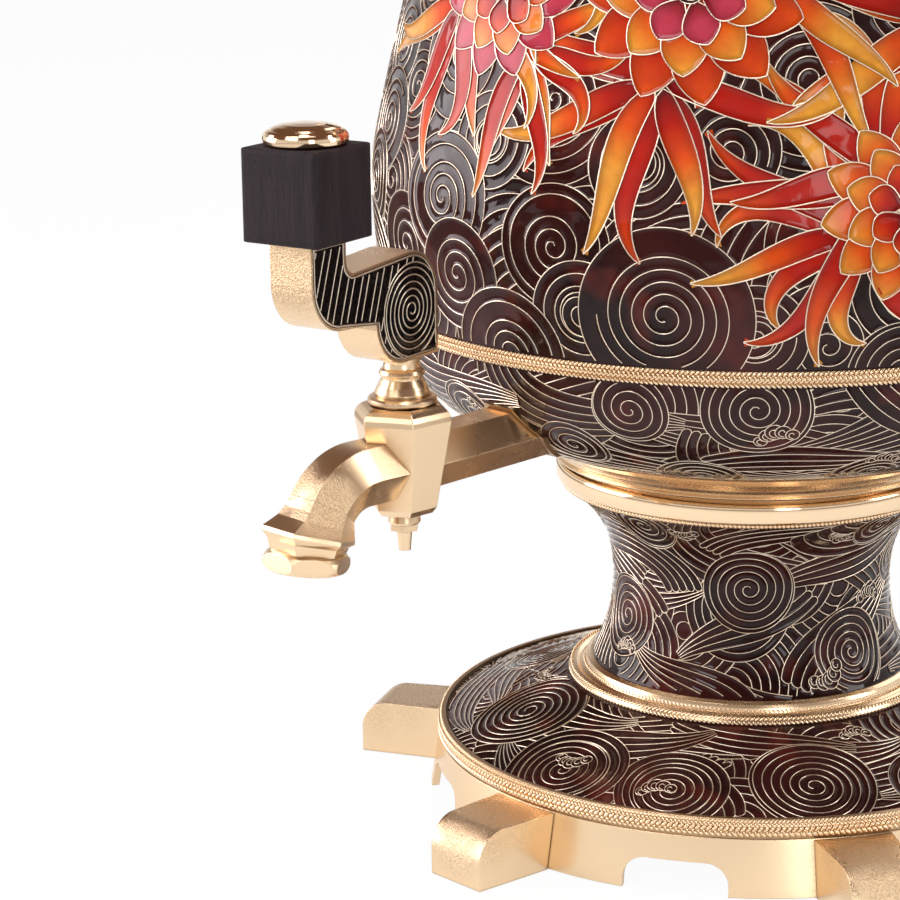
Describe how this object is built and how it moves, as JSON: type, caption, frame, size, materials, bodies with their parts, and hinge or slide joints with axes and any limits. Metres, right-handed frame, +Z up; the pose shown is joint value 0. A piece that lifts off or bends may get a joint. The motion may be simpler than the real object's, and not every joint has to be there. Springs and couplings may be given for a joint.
{
  "type": "samovar",
  "caption": "Charcoal samovar with a dark enamelled body in gold spiral wirework, a gilt footed base, a plug tap with a stepped lever, wooden grips, and a lid with a crown and cap.",
  "frame": {"origin": "on the ground under the body's vertical axis", "axes": "+Z up along the body's axis, the tap points along -Y, the handles stand along +X and -X"},
  "size_m": [0.297, 0.3308, 0.3985],
  "materials": {
    "gilt_satin": "satin gilt brass",
    "gilt_polished": "polished gilt brass",
    "gilt_braid": "gilt braided wire",
    "enamel_dark": "glossy dark maroon enamel with thin gilt wires",
    "enamel_floral": "glossy red and amber enamel with thin gilt wires",
    "dark_wood": "dark oiled wood with open pores",
    "steel": "plain steel",
    "tank_steel": "bright food-grade steel",
    "gasket_rubber": "matt"
  },
  "bodies": {
    "samovar": {"foot_1": "gilt_satin", "foot_2": "gilt_satin", "foot_3": "gilt_satin", "foot_4": "gilt_satin", "foot_5": "gilt_satin", "foot_6": "gilt_satin", "foot_screws": "steel", "base_skirt": "gilt_satin", "rim_braid": "gilt_braid", "base_disc": "enamel_dark", "base_bolts": "steel", "neck_foot_ring": "gilt_braid", "neck": "enamel_dark", "polished_ring": "gilt_polished", "collar_ring": "gilt_satin", "lower_bowl": "enamel_dark", "band_braid": "gilt_braid", "upper_body": "enamel_dark", "top_band": "gilt_braid", "shoulder": "enamel_floral", "water_tank": "tank_steel", "tank_floor": "tank_steel", "fire_tube": "steel", "grate_ring": "steel", "grate": "steel", "lid_seat_ring": "gilt_polished", "tap_pipe": "gilt_satin", "pipe_braid": "gilt_braid", "pipe_gasket": "gasket_rubber", "pipe_nut": "steel", "tap_body": "gilt_satin", "tap_spout": "gilt_satin", "tap_mouth": "gilt_satin", "handle_arms_left": "gilt_satin", "handle_arms_right": "gilt_satin", "handle_inlays": "enamel_dark", "handle_grip_left": "dark_wood", "handle_grip_right": "dark_wood", "handle_screws": "steel", "handle_buttons": "gilt_polished"},
    "key": {"key_plug": "gilt_satin", "key_washer": "gilt_satin", "key_nut": "gilt_satin", "key_lever": "gilt_satin", "lever_inlays": "enamel_dark", "lever_grip": "dark_wood", "lever_button": "gilt_polished"},
    "lid": {"lid": "enamel_floral", "lid_studs": "gilt_satin", "lid_knob_left": "dark_wood", "lid_knob_right": "dark_wood", "vent_seat": "gilt_polished"},
    "vent": {"vent_cap": "gilt_polished"},
    "crown": {"crown": "gilt_satin", "crown_braid": "gilt_braid"},
    "cap": {"chimney_cap": "enamel_floral", "cap_collar": "gilt_satin", "cap_knob": "dark_wood", "cap_button": "gilt_polished"}
  },
  "joints": [
    {"name": "key_turn", "type": "hinge", "parent": "samovar", "child": "key", "pos_m": [0, -0.1463, 0.1318], "axis": [0, 0, 1], "range_deg": [-13.7, 76.3]},
    {"name": "lid_lift", "type": "slide", "parent": "samovar", "child": "lid", "axis": [0, 0, 1], "range_m": [0, 0.08]},
    {"name": "vent_turn", "type": "hinge", "parent": "lid", "child": "vent", "pos_m": [0, 0.044, 0.352], "axis": [0, 0, 1], "range_deg": [0, 90]},
    {"name": "crown_lift", "type": "slide", "parent": "lid", "child": "crown", "axis": [0, 0, 1], "range_m": [0, 0.06]},
    {"name": "cap_lift", "type": "slide", "parent": "crown", "child": "cap", "axis": [0, 0, 1], "range_m": [0, 0.06]}
  ]
}
